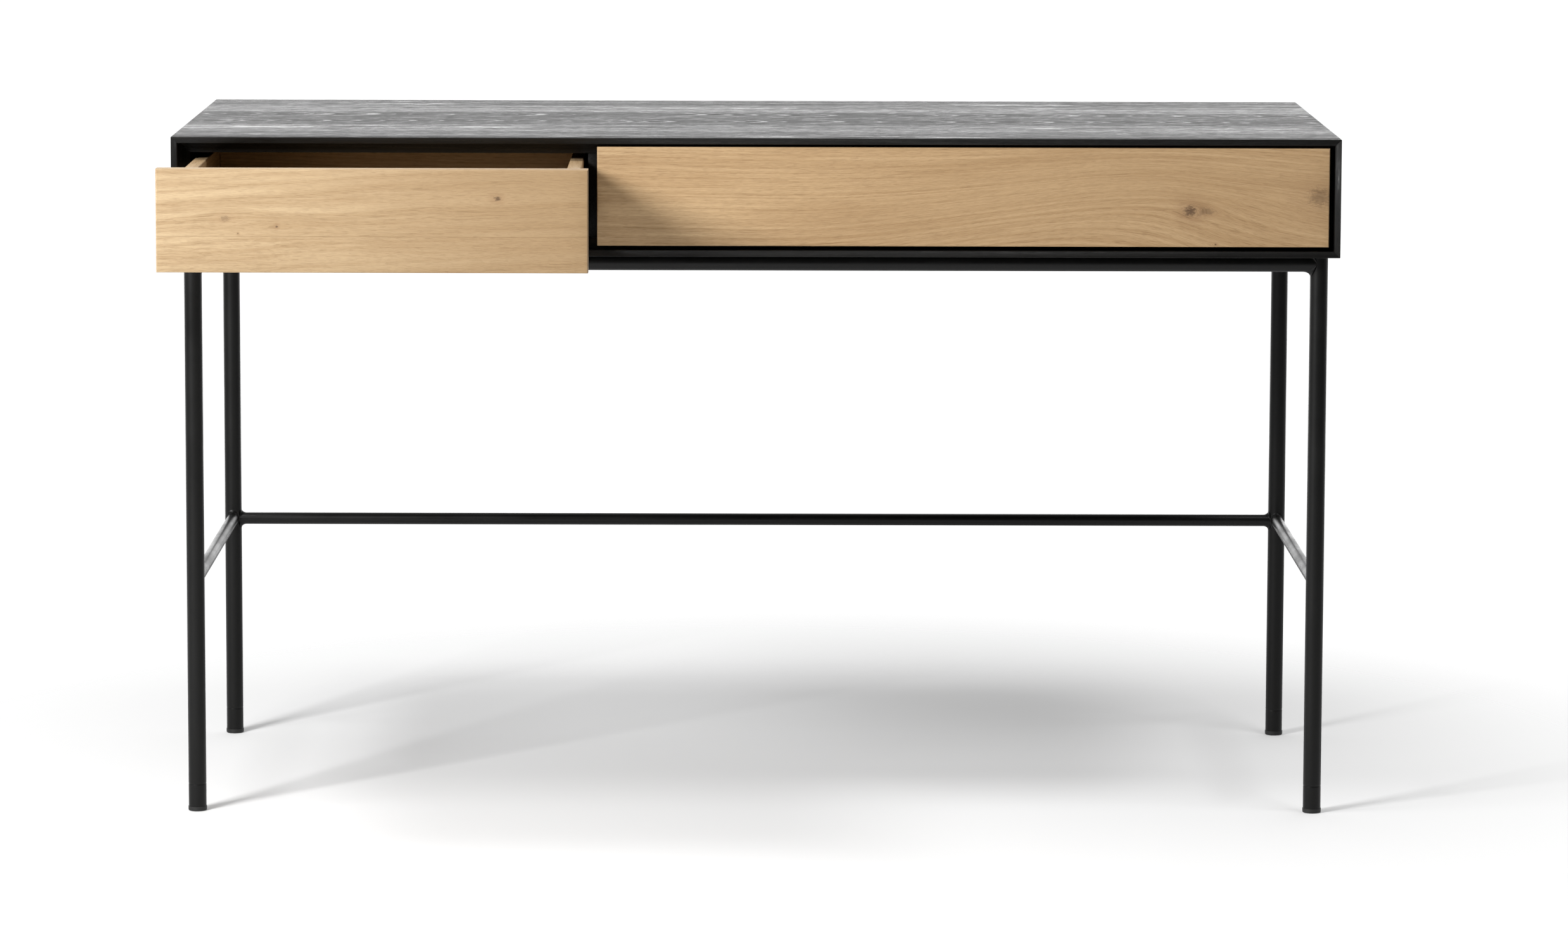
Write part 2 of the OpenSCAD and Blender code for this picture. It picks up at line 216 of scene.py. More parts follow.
# Grain: X runs along the fibres. Growth rings are cones about a pith, and pores are short dark dashes.
grain_group, g_in, g_out = new_group(
    "grain",
    {"Vector": "Vector", "Pith": "Vector", "Ring Width": "Float", "Lean": "Float", "Wander": "Float",
     "Ripple": "Float"},
    {"Rings": "Float", "Pores": "Float", "Fibre": "Float", "Cloud": "Float"},
)
drift = g_in["Vector"]
for size, along, across in (("Wander", 2.2, 9.0), ("Ripple", 34.0, 60.0)):
    wave = noise(grain_group, stretch(grain_group, g_in["Vector"], along, across)).outputs["Color"]
    wave = vector_sum(grain_group, "SUBTRACT", wave, (0.5, 0.5, 0.5))
    wave = vector_sum(grain_group, "SCALE", wave, g_in[size])
    drift = vector_sum(grain_group, "ADD", drift, wave)
from_pith = vector_sum(grain_group, "SUBTRACT", drift, g_in["Pith"])
square = vector_sum(grain_group, "MULTIPLY", from_pith, (0, 1, 1))
radius = vector_sum(grain_group, "LENGTH", square, output="Value")
lengthwise = add_node(grain_group, "ShaderNodeSeparateXYZ", {0: from_pith}).outputs["X"]
cone = sums(grain_group, "MULTIPLY_ADD", lengthwise, g_in["Lean"], radius)
ring_place = sums(grain_group, "DIVIDE", cone, g_in["Ring Width"])
ring_inputs = {"W": ring_place, "Scale": 1.0, "Detail": 1.5}
ring_noise = add_node(grain_group, "ShaderNodeTexNoise", ring_inputs, noise_dimensions="1D")
rings = ramp(grain_group, ring_noise.outputs[0], 0.32, 0.68)
long_pores = noise(grain_group, stretch(grain_group, drift, 50.0, 1700.0), 1.0).outputs[0]
fine_pores = noise(grain_group, stretch(grain_group, drift, 100.0, 2600.0), 1.0).outputs[0]
early = sums(grain_group, "MULTIPLY_ADD", rings, 0.75, 0.25)
long_pores = sums(grain_group, "MULTIPLY", ramp(grain_group, long_pores, 0.60, 0.66), early)
fine_pores = sums(grain_group, "MULTIPLY", ramp(grain_group, fine_pores, 0.54, 0.62), 0.60)
fibre = noise(grain_group, stretch(grain_group, drift, 12.0, 560.0), 4.0, 0.7)
cloud = noise(grain_group, stretch(grain_group, drift, 4.5, 75.0), 4.0, 0.6)
for label, value in {
    "Rings": rings,
    "Pores": sums(grain_group, "MAXIMUM", long_pores, fine_pores),
    "Fibre": ramp(grain_group, fibre.outputs[0], 0.30, 0.70),
    "Cloud": ramp(grain_group, cloud.outputs[0], 0.36, 0.64),
}.items():
    grain_group.links.new(value, g_out[label])

# Staves: a shift that gives each strip across the grain its own piece of tree, with its own tone.
stave_group, s_in, s_out = new_group(
    "staves", {"Vector": "Vector", "Width": "Float"}, {"Shift": "Vector", "Tone": "Float", "Seam": "Float"})
across = add_node(stave_group, "ShaderNodeSeparateXYZ", {0: s_in["Vector"]}).outputs["Y"]
step = sums(stave_group, "DIVIDE", across, s_in["Width"])
which = sums(stave_group, "FLOOR", step)
dice = add_node(stave_group, "ShaderNodeTexWhiteNoise", {"W": which}, noise_dimensions="1D")
dice_axes = add_node(stave_group, "ShaderNodeSeparateXYZ", {0: dice.outputs["Color"]}).outputs
off_middle = sums(stave_group, "ADD", which, sums(stave_group, "MULTIPLY_ADD", dice_axes[1], 0.9, 0.05))
shift = add_node(stave_group, "ShaderNodeCombineXYZ", {
    "X": sums(stave_group, "MULTIPLY", dice_axes[0], 9.0),
    "Y": sums(stave_group, "MULTIPLY", off_middle, sums(stave_group, "MULTIPLY", s_in["Width"], -1.0)),
    "Z": sums(stave_group, "MULTIPLY", dice_axes[2], 0.03)})
to_seam = sums(stave_group, "MULTIPLY", sums(stave_group, "PINGPONG", step, 0.5), s_in["Width"])
stave_group.links.new(shift.outputs[0], s_out["Shift"])
stave_group.links.new(dice.outputs["Value"], s_out["Tone"])
stave_group.links.new(ramp(stave_group, to_seam, 0.0002, 0.0006, 1.0, 0.0), s_out["Seam"])

# Edge wear and highlight: a mask that is 1 on arrises, where handling and sanding thin the finish, and
# where the materials also paint a highlight.
edge_group, e_in, e_out = new_group("edge_wear_and_highlight", {"Radius": "Float"}, {"Mask": "Float"})
rounded = add_node(edge_group, "ShaderNodeBevel", {"Radius": e_in["Radius"]}, samples=4)
plain = add_node(edge_group, "ShaderNodeNewGeometry").outputs["Normal"]
facing = vector_sum(edge_group, "DOT_PRODUCT", rounded.outputs[0], plain, "Value")
edge_group.links.new(ramp(edge_group, facing, 0.999, 0.86), e_out["Mask"])


def mix(tree, factor, first, second):
    """First colour where the factor is 0, second where it is 1."""
    inputs = {0: factor, 6: first, 7: second}
    return add_node(tree, "ShaderNodeMix", inputs, data_type="RGBA").outputs[2]


def relief(tree, height, strength, depth):
    """A normal that a height bends, up to a depth in metres."""
    inputs = {"Height": height, "Strength": strength, "Distance": depth}
    return add_node(tree, "ShaderNodeBump", inputs).outputs[0]


def cover(tree, output, inputs):
    """Puts a Principled shader with these inputs on the surface."""
    shader = add_node(tree, "ShaderNodeBsdfPrincipled", inputs)
    tree.links.new(shader.outputs[0], output.inputs["Surface"])


def grain_space(tree, turn, shift=(0, 0, 0)):
    """Object coordinates turned so that X runs along the grain, then shifted."""
    place = add_node(tree, "ShaderNodeTexCoord").outputs["Object"]
    inputs = {"Vector": place, "Rotation": [math.radians(a) for a in turn], "Location": shift}
    return add_node(tree, "ShaderNodeMapping", inputs).outputs[0]


def black_oak(name, turn, shift, figure, gloss=1.0):
    """Black-stained oak: a thin satin lacquer shines on the hard wood and sinks into the porous wood."""
    stave_w = 0.1
    material, tree, output = new_material(name)
    vector = grain_space(tree, turn, shift)
    stave = use_group(tree, stave_group, Vector=vector, Width=stave_w)
    shifted = vector_sum(tree, "ADD", vector, stave["Shift"])
    grain = use_group(
        tree, grain_group, Vector=shifted, Pith=(0, 0, -0.012), Ring_Width=0.0032,
        Lean=ramp(tree, stave["Tone"], 0.55, 0.85, 0.02, 0.2), Wander=0.012, Ripple=0.0010)
    edge = use_group(tree, edge_group, Radius=0.0012)
    patches = noise(tree, stretch(tree, shifted, 45.0, 330.0), 5.0, 0.75).outputs[0]
    ridge = sums(tree, "POWER", grain["Rings"], 4.0)
    shine = sums(tree, "MULTIPLY_ADD", ramp(tree, patches, 0.42, 0.58), 0.50, 0.16)
    shine = sums(tree, "MULTIPLY_ADD", ridge, figure, shine)
    shine = sums(tree, "MULTIPLY_ADD", stave["Tone"], -0.32, shine)
    shine = sums(tree, "MULTIPLY_ADD", grain["Pores"], -0.7, shine, clamp=True)
    colour = mix(tree, grain["Fibre"], (0.0042, 0.0039, 0.0035, 1), (0.0098, 0.0092, 0.0084, 1))
    colour = mix(tree, sums(tree, "MULTIPLY", ridge, figure), colour, (0.0125, 0.0118, 0.0106, 1))
    colour = mix(tree, sums(tree, "MULTIPLY", grain["Pores"], 0.8), colour, (0.0020, 0.0019, 0.0017, 1))
    # Lighter arrises: partly wear, partly a painted highlight.
    colour = mix(tree, sums(tree, "MULTIPLY", edge["Mask"], 0.2), colour, (0.022, 0.020, 0.018, 1))
    rough = sums(tree, "MULTIPLY_ADD", shine, -0.38, 0.60)
    low = sums(tree, "MULTIPLY_ADD", grain["Pores"], -1.0, sums(tree, "MULTIPLY", grain["Fibre"], 0.25))
    height = sums(tree, "SUBTRACT", low, stave["Seam"])
    cover(tree, output, {
        "Base Color": colour, "Roughness": rough, "Normal": relief(tree, height, 0.7, 0.00008),
        "Specular IOR Level": 0.24 * gloss})
    return material


def block(name, low, high):
    """A box between two corners, to be shaped further."""
    deselect()
    low, high = Vector(low), Vector(high)
    bpy.ops.mesh.primitive_cube_add(size=1, location=(low + high) / 2)
    piece = bpy.context.object
    piece.name = piece.data.name = name
    piece.scale = high - low
    bpy.ops.object.transform_apply(location=True, rotation=True, scale=True)
    return piece


def pick(piece):
    """Selects one piece and makes it the active one."""
    deselect()
    piece.select_set(True)
    bpy.context.view_layer.objects.active = piece


def edit(piece, kind="FACE", chosen=None):
    """Opens a piece in edit mode with all of it selected, or only the parts that `chosen` accepts."""
    pick(piece)
    bpy.ops.object.mode_set(mode="EDIT")
    bpy.ops.mesh.select_mode(type=kind)
    bpy.ops.mesh.select_all(action="SELECT" if chosen is None else "DESELECT")
    if chosen is None:
        return
    bpy.ops.object.mode_set(mode="OBJECT")
    if kind == "FACE":
        for face in piece.data.polygons:
            face.select = chosen(face.center, face.normal)
    else:
        for point in piece.data.vertices:
            point.select = chosen(point.co)
    bpy.ops.object.mode_set(mode="EDIT")


def slice_at(piece, point, normal, trim=False):
    """Cuts a piece along a plane; trim takes off what lies in front of the plane and closes it."""
    edit(piece)
    bpy.ops.mesh.bisect(plane_co=point, plane_no=normal, use_fill=trim, clear_outer=trim)
    bpy.ops.object.mode_set(mode="OBJECT")


def pull(piece, chosen, move):
    """Extrudes the chosen faces by a move."""
    edit(piece, "FACE", chosen)
    bpy.ops.mesh.extrude_region_move(TRANSFORM_OT_translate={"value": move})
    bpy.ops.object.mode_set(mode="OBJECT")


def ease(piece, width, segments=2, angle=30):
    """Rounds every arris of a piece and smooths its shading; with no width it only smooths."""
    pick(piece)
    if width:
        bevel = piece.modifiers.new("ease", "BEVEL")
        bevel.width = width
        bevel.segments = segments
        bevel.limit_method = "ANGLE"
        bevel.angle_limit = math.radians(angle)
        bpy.ops.object.modifier_apply(modifier="ease")
    bpy.ops.object.shade_smooth_by_angle(angle=math.radians(35))


def set_down(piece, matrix):
    """Moves a piece by a matrix and applies it, so that its place is in its mesh."""
    piece.matrix_world = matrix
    pick(piece)
    bpy.ops.object.transform_apply(location=True, rotation=True, scale=True)


def fit(piece, body, slot, material, *stands_for):
    """Gives a finished piece its material and its body, and hides the nodes it stands for. The slot is not
    used.
    """
    piece.data.materials.clear()
    piece.data.materials.append(material)
    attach(piece, body)
    if stands_for:
        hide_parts(*stands_for)


def casing_board(name, length, angle, middle, material):
    """A mitred board, made flat with its outer face up, then turned about Y and set in place."""
    piece = block(name, (-length / 2, 0, -lip_t), (length / 2, board_depth, 0))
    groove = (panel_low.y - front_y, panel_high.y - front_y)
    for y in (rebate_d, *groove):
        slice_at(piece, (0, y, 0), (0, 1, 0))
    pull(piece, lambda at, out: out.z < -0.9 and at.y > rebate_d, (0, 0, lip_t + groove_d - board_t))
    pull(
        piece,
        lambda at, out: out.z < -0.9 and at.y > rebate_d and not groove[0] < at.y < groove[1],
        (0, 0, -groove_d),
    )
    ease(piece, board_ease)
    for side in (-1, 1):
        slice_at(piece, (side * length / 2, 0, 0), (side, 0, -1), trim=True)
    set_down(piece, Matrix.Translation(middle) @ Matrix.Rotation(angle, 4, "Y"))
    fit(piece, "desk_frame", "black_stained_oak", material, name.replace("_board", ""))


# The staves are counted from just behind the front edge, so that no seam lies in the edge's own face.
off_seam = 0.001 - front_y
oak_top = black_oak("black_oak_top", (0, 0, 0), (0, off_seam, -top_high.z), 0.55)
oak_bottom = black_oak("black_oak_bottom", (0, 0, 0), (4.0, off_seam, -casing_z), 0.1)
oak_upright = black_oak("black_oak_upright", (0, 90, 0), (2.0, off_seam, 0), 0.0)
casing_mid = (casing_z + top_high.z) / 2
casing_h = top_high.z - casing_z
casing_board("casing_top_board", desk_w, 0, (0, front_y, top_high.z), oak_top)
casing_board("casing_bottom_board", desk_w, math.pi, (0, front_y, casing_z), oak_bottom)
for name, side in (("left", -1), ("right", 1)):
    middle = (side * desk_w / 2, front_y, casing_mid)
    casing_board(f"casing_{name}_side_board", casing_h, side * math.pi / 2, middle, oak_upright)

# ---- Back panel and divider ----
# A thin black-painted fibreboard panel slides into the grooves of the four boards. The divider is a
# black-stained oak board, dowelled between the top and the bottom, with its grain front to back.


def black_paint(name):
    """Thin matt black paint over fibreboard, slightly orange-peeled."""
    material, tree, output = new_material(name)
    place = add_node(tree, "ShaderNodeTexCoord").outputs["Object"]
    peel = noise(tree, place, 2.0, scale=900.0).outputs[0]
    patch = noise(tree, place, 3.0, scale=14.0).outputs[0]
    cover(tree, output, {
        "Base Color": mix(tree, patch, (0.008, 0.008, 0.0075, 1), (0.013, 0.0125, 0.012, 1)),
        "Roughness": ramp(tree, patch, 0.3, 0.7, 0.55, 0.68),
        "Normal": relief(tree, peel, 0.5, 0.00008), "Specular IOR Level": 0.3})
    return material


def paint_nodes(material, *names):
    """Gives CAD nodes a material in place of the plain one they come with."""
    for name in names:
        slots = nodes[name].data.materials
        slots.clear()
        slots.append(material)


paint_nodes(black_paint("black_panel_paint"), "casing_back_panel")
divider = block("divider_board", *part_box("casing_divider"))
ease(divider, board_ease)
# The divider's lacquer gets a third of the shine, a painted shade that keeps its front edge dark as in the
# deep shadow of the bay.
oak_inward = black_oak("black_oak_inward", (0, 0, -90), (0, 0, -casing_mid), 0.0, gloss=0.3)
fit(divider, "desk_frame", "black_stained_oak", oak_inward, "casing_divider")

# ---- Biscuits and dowels ----
# Pressed beech biscuits in the four mitres and fluted beech dowels at the divider and in the drawer
# boxes, glued in and out of sight.


def beech(name, turn):
    """Bare beech with short brown rays."""
    material, tree, output = new_material(name)
    grain = use_group(
        tree, grain_group, Vector=grain_space(tree, turn), Pith=(0, 0.03, -0.05), Ring_Width=0.002,
        Lean=0.01, Wander=0.004, Ripple=0.0)
    colour = mix(tree, grain["Fibre"], (0.52, 0.34, 0.19, 1), (0.66, 0.46, 0.28, 1))
    colour = mix(tree, sums(tree, "MULTIPLY", grain["Pores"], 0.7), colour, (0.30, 0.15, 0.07, 1))
    normal = relief(tree, grain["Fibre"], 0.4, 0.0001)
    cover(tree, output, {"Base Color": colour, "Roughness": 0.62, "Normal": normal})
    return material


paint_nodes(beech("beech_flat", (0, 0, -90)), "mitre_biscuits")
paint_nodes(beech("beech_upright", (0, 90, 0)), "divider_dowels")
paint_nodes(beech("beech_inward", (0, 0, -90)), "left_drawer_dowels", "right_drawer_dowels")

# ---- Legs ----
# Round steel tube, powder coated satin black after welding. A shallow crimp just above the foot
# holds the stem of the glide.
leg_wall = 0.0015
crimp_up = 0.026
crimp_w = 0.0009
crimp_in = 0.982


def powder_coat(name):
    """Satin black powder coat with a fine orange peel, worn a little on sharp edges, which also carry a
    painted highlight.
    """
    material, tree, output = new_material(name)
    place = add_node(tree, "ShaderNodeTexCoord").outputs["Object"]
    peel = noise(tree, place, 1.5, scale=750.0).outputs[0]
    patch = noise(tree, place, 3.0, scale=20.0).outputs[0]
    edge = use_group(tree, edge_group, Radius=0.0008)
    colour = mix(tree, patch, (0.0040, 0.0040, 0.0038, 1), (0.0064, 0.0063, 0.0060, 1))
    # Lighter arrises: partly wear, partly a painted highlight.
    colour = mix(tree, sums(tree, "MULTIPLY", edge["Mask"], 0.3), colour, (0.020, 0.020, 0.019, 1))
    cover(tree, output, {
        "Base Color": colour, "Roughness": ramp(tree, patch, 0.3, 0.7, 0.34, 0.44),
        "Normal": relief(tree, peel, 0.35, 0.0001), "Specular IOR Level": 0.22})
    return material


def copy_of(piece, name):
    """A copy of a piece with its own mesh."""
    twin = piece.copy()
    twin.data = piece.data.copy()
    twin.name = twin.data.name = name
    bpy.context.scene.collection.objects.link(twin)
    return twin


coat = powder_coat("satin_black_coat")
leg_low, leg_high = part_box("leg_front_left")
leg_r = (leg_high.x - leg_low.x) / 2
leg_h = leg_high.z - leg_low.z
deselect()
bpy.ops.mesh.primitive_cylinder_add(
    vertices=64, radius=leg_r, depth=leg_h, location=(0, 0, leg_h / 2), end_fill_type="NOTHING")
pattern_leg = bpy.context.object
set_down(pattern_leg, pattern_leg.matrix_world.copy())
for up in (-2.5, -1.0, -0.35, 0.35, 1.0, 2.5):
    slice_at(pattern_leg, (0, 0, crimp_up + up * crimp_w), (0, 0, 1))
edit(pattern_leg, "VERT", lambda at: abs(at.z - crimp_up) < 0.5 * crimp_w)
bpy.ops.transform.resize(value=(crimp_in, crimp_in, 1), center_override=(0, 0, 0))
bpy.ops.object.mode_set(mode="OBJECT")
tube_wall = pattern_leg.modifiers.new("wall", "SOLIDIFY")
tube_wall.thickness = leg_wall
tube_wall.offset = -1
bpy.ops.object.modifier_apply(modifier="wall")
ease(pattern_leg, 0)
sides = ("left", "right")
legs = [f"leg_{end}_{side}" for end in ("front", "back") for side in sides]
for name in legs:
    low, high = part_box(name)
    leg = copy_of(pattern_leg, name + "_tube")
    set_down(leg, Matrix.Translation(((low.x + high.x) / 2, (low.y + high.y) / 2, low.z)))
    fit(leg, "desk_frame", "black_steel", coat, name)
bpy.data.objects.remove(pattern_leg)

# ---- Rails, stretchers and tabs ----
# Tubes of the same steel, their ends coped to the legs and welded all round: four rails under the
# casing and three stretchers low down, with none in front. Flat tabs welded to the rails carry the casing.
paint_nodes(coat, *(f"top_rail_{side}" for side in ("front", "back", *sides)))
paint_nodes(coat, *(f"stretcher_{side}" for side in ("back", *sides)), "fixing_tabs")

# ---- Welds ----
# A fillet of weld fills the corner round the end of every rail and stretcher. It is deepest above and
# below the tube, where the leg stands square to it, and a little uneven under the powder coat.


def weld_fillet(name, tube_r, reach, climb):
    """A fillet round a tube along +X that meets a leg standing at the origin."""
    root = 0.001
    arc_points = 8
    deselect()
    bpy.ops.mesh.primitive_circle_add(vertices=2 + arc_points, radius=root)
    fillet = bpy.context.object
    fillet.name = fillet.data.name = name
    bpy.ops.object.mode_set(mode="EDIT")
    bpy.ops.mesh.select_all(action="SELECT")
    bpy.ops.mesh.delete(type="ONLY_FACE")
    outline = [(-root, -root), (reach, -root)]
    for step in range(arc_points):
        turn = step / (arc_points - 1) * math.pi / 2
        outline.append((reach * (1 - math.sin(turn)), climb * (1 - math.cos(turn))))
    bpy.ops.object.mode_set(mode="OBJECT")
    for point, (out, up) in zip(fillet.data.vertices, outline):
        point.co = (out, 0, tube_r + up)
    rings = 56
    edit(fillet, "VERT")
    bpy.ops.mesh.spin(steps=rings, angle=2 * math.pi, center=(0, 0, 0), axis=(1, 0, 0))
    bpy.ops.mesh.select_all(action="SELECT")
    bpy.ops.mesh.remove_doubles(threshold=1e-6)
    bpy.ops.mesh.normals_make_consistent(inside=False)
    bpy.ops.object.mode_set(mode="OBJECT")
    around = [math.atan2(point.co.z, point.co.y) for point in fillet.data.vertices]
    for ring in range(rings):
        angle = math.pi / 2 + 2 * math.pi * ring / rings
        edit(fillet, "VERT", lambda at: False)
        bpy.ops.object.mode_set(mode="OBJECT")
        for point, turn in zip(fillet.data.vertices, around):
            point.select = math.cos(turn - angle) > math.cos(math.pi / rings)
        bpy.ops.object.mode_set(mode="EDIT")
        along = math.sqrt(max(leg_r ** 2 - (tube_r * math.cos(angle)) ** 2, 0))
        bpy.ops.transform.translate(value=(along, 0, 0))
        corner = (along, tube_r * math.cos(angle), tube_r * math.sin(angle))
        uneven = 1 + 0.03 * math.sin(ring * 2.9) + 0.03 * math.sin(ring * 1.3)
        size = (0.05 + 0.95 * abs(math.sin(angle)) ** 1.6) * uneven
        bpy.ops.transform.resize(value=(size, size, size), center_override=corner)
    bpy.ops.object.mode_set(mode="OBJECT")
    ease(fillet, 0)
    return fillet


front_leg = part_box("leg_front_left")
back_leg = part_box("leg_back_right")
leg_x = (back_leg[0].x + back_leg[1].x) / 2
leg_ys = {"front": (front_leg[0].y + front_leg[1].y) / 2, "back": (back_leg[0].y + back_leg[1].y) / 2}
inward = {"left": 0.0, "right": math.pi, "front": math.pi / 2, "back": -math.pi / 2}
for level, reach, climb in (("top_rail", 0.0080, 0.0055), ("stretcher", 0.0058, 0.0046)):
    tube_low, tube_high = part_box(level + "_left")
    tube_z = (tube_low.z + tube_high.z) / 2
    pattern_weld = weld_fillet("weld", (tube_high.x - tube_low.x) / 2, reach, climb)
    for end, y in leg_ys.items():
        for side, x in (("left", -leg_x), ("right", leg_x)):
            for way, word in ((side, "across"), (end, "inward")):
                if level == "stretcher" and end == "front" and way == side:
                    continue
                weld = copy_of(pattern_weld, f"weld_{level}_{end}_{side}_{word}")
                set_down(weld, Matrix.Translation((x, y, tube_z)) @ Matrix.Rotation(inward[way], 4, "Z"))
                if level == "top_rail":
                    slice_at(weld, (0, 0, casing_z), (0, 0, 1), trim=True)
                fit(weld, "desk_frame", "black_steel", coat)
    bpy.data.objects.remove(pattern_weld)

# ---- Screws ----
# Button-head screws with hexagon sockets: black ones up through the tabs into the casing, and zinc
# plated ones through the cabinet rails and the drawer clips.


def screw(head_r, head_h, shank_r, length, socket_r):
    """A button-head screw along -Z with the face of its head at z = 0."""
    deselect()
    bpy.ops.mesh.primitive_circle_add(vertices=6, radius=socket_r)
    socket = bpy.context.object
    bpy.ops.mesh.primitive_circle_add(vertices=24, radius=0.72 * head_r)
    rim = bpy.context.object
    socket.select_set(True)
    bpy.ops.object.join()
    edit(rim)
    bpy.ops.mesh.bridge_edge_loops()
    edit(rim, "VERT", lambda at: at.length < 1.01 * socket_r)
    bpy.ops.mesh.extrude_region_move(TRANSFORM_OT_translate={"value": (0, 0, -0.6 * head_h)})
    bpy.ops.mesh.edge_face_add()
    outline = (
        (0.93 * head_r, -0.25 * head_h), (head_r, -0.6 * head_h), (head_r, -head_h), (shank_r, -head_h),
        (shank_r, 0.5 * shank_r - length), (0.5 * shank_r, -length))
    at_r, at_z = 0.72 * head_r, 0.0
    for to_r, to_z in outline:
        edit(rim, "VERT", lambda at: abs(at.xy.length - at_r) < 1e-6 and abs(at.z - at_z) < 1e-6)
        bpy.ops.mesh.extrude_region_move(TRANSFORM_OT_translate={"value": (0, 0, to_z - at_z)})
        bpy.ops.transform.resize(value=(to_r / at_r, to_r / at_r, 1), center_override=(0, 0, 0))
        at_r, at_z = to_r, to_z
    bpy.ops.mesh.edge_face_add()
    bpy.ops.mesh.select_all(action="SELECT")
    bpy.ops.mesh.normals_make_consistent(inside=False)
    bpy.ops.object.mode_set(mode="OBJECT")
    ease(rim, 0)
    return rim


def drive_screws(node, axis, longest, head_h, body, slot, material):
    """
    Sets a button-head screw in the place of each plain one in a CAD node, along axis 0 or 2. Corners
    belong to one screw if they lie within its width of each other and within its longest length.
    """
    apart = 0.0085
    heaps = []
    for corner in sorted((v.co.copy() for v in nodes[node].data.vertices), key=tuple):
        for heap in heaps:
            gap = corner - heap[0]
            far = abs(gap[axis]) > longest
            gap[axis] = 0
            if gap.length < apart and not far:
                heap.append(corner)
                break
        else:
            heaps.append([corner])
    screws = []
    for heap in heaps:
        low, high = Vector(map(min, *heap)), Vector(map(max, *heap))
        face = (low + high) / 2
        head_r = (high.y - low.y) / 2
        ends = {round(at[axis], 6) for at in heap if abs(at.y - face.y) > 0.9 * head_r}
        headed_low = min(ends) < low[axis] + 1e-5
        face[axis] = low[axis] if headed_low else high[axis]
        way = Vector((0, 0, 0))
        way[axis] = 1 if headed_low else -1
        piece = screw(head_r, head_h, 0.5 * head_r, high[axis] - low[axis], 0.36 * head_r)
        set_down(piece, Matrix.Translation(face) @ way.to_track_quat("-Z", "Y").to_matrix().to_4x4())
        screws.append(piece)
    deselect()
    for piece in screws:
        piece.select_set(True)
    bpy.context.view_layer.objects.active = screws[0]
    bpy.ops.object.join()
    screws[0].name = screws[0].data.name = node + "_socketed"
    fit(screws[0], body, slot, material, node)


def plating(name, dark, light, rough):
    """Plated steel with a faint crystal spangle."""
    material, tree, output = new_material(name)
    place = add_node(tree, "ShaderNodeTexCoord").outputs["Object"]
    spangle = add_node(tree, "ShaderNodeTexVoronoi", {"Vector": place, "Scale": 260.0})
    patch = noise(tree, place, 3.0, scale=55.0).outputs[0]
    blotch = sums(tree, "MULTIPLY", spangle.outputs["Distance"], patch)
    cover(tree, output, {
        "Base Color": mix(tree, ramp(tree, blotch, 0.1, 0.5), dark, light), "Metallic": 1.0,
        "Roughness": ramp(tree, patch, 0.3, 0.7, rough, rough + 0.14)})
    return material


zinc = plating("zinc_plate", (0.42, 0.43, 0.44, 1), (0.62, 0.62, 0.61, 1), 0.30)
black_oxide = plating("black_oxide", (0.020, 0.020, 0.021, 1), (0.042, 0.041, 0.040, 1), 0.34)
drive_screws("frame_screws", 2, 0.02, 0.0024, "desk_frame", "black_screws", black_oxide)
drive_screws("runner_screws", 0, 0.012, 0.0016, "desk_frame", "zinc_screws", zinc)
bays = ("left", "right")
for bay in bays:
    drive_screws(f"{bay}_drawer_clip_screws", 2, 0.012, 0.0016, f"{bay}_drawer", "zinc_screws", zinc)

# ---- Glides ----
# Black plastic glides pressed into the legs, a little wider than the tube, moulded with a fine
# matt texture.


def moulded(name, dark, light, rough):
    """Moulded plastic with a fine spark-eroded texture."""
    material, tree, output = new_material(name)
    place = add_node(tree, "ShaderNodeTexCoord").outputs["Object"]
    pits = noise(tree, place, 2.0, scale=2600.0).outputs[0]
    patch = noise(tree, place, 2.0, scale=60.0).outputs[0]
    cover(tree, output, {
        "Base Color": mix(tree, patch, dark, light),
        "Roughness": ramp(tree, patch, 0.3, 0.7, rough, rough + 0.1),
        "Normal": relief(tree, pits, 0.4, 0.00005), "Specular IOR Level": 0.4})
    return material


glide_plastic = moulded("black_glide_plastic", (0.010, 0.010, 0.010, 1), (0.016, 0.016, 0.015, 1), 0.5)
paint_nodes(glide_plastic, *(name.replace("leg", "glide") for name in legs))

# ---- Runners ----
# Undermount runners in three members of zinc-coated steel: the cabinet rail is screwed to the bay,
# the middle rail rolls between nylon rollers, and the drawer rail hangs under the drawer bottom.
for bay in bays:
    for side in sides:
        paint_nodes(
            zinc, f"{bay}_bay_cabinet_rail_{side}", f"{bay}_bay_middle_rail_{side}",
            f"{bay}_drawer_rail_{side}")
nylon = moulded("white_nylon", (0.70, 0.68, 0.62, 1), (0.80, 0.78, 0.73, 1), 0.45)
paint_nodes(nylon, *(f"{bay}_bay_rollers" for bay in bays))
grey_clip = moulded("grey_clip_plastic", (0.20, 0.21, 0.22, 1), (0.27, 0.28, 0.29, 1), 0.48)
paint_nodes(grey_clip, *(f"{bay}_drawer_clips" for bay in bays))

# ---- Drawer boxes ----
# Solid oak sides and back, dowelled together, round an oak-faced bottom panel in a groove. The top
# edges are eased by hand and the whole box has a matt lacquer.
box_ease = 0.0012

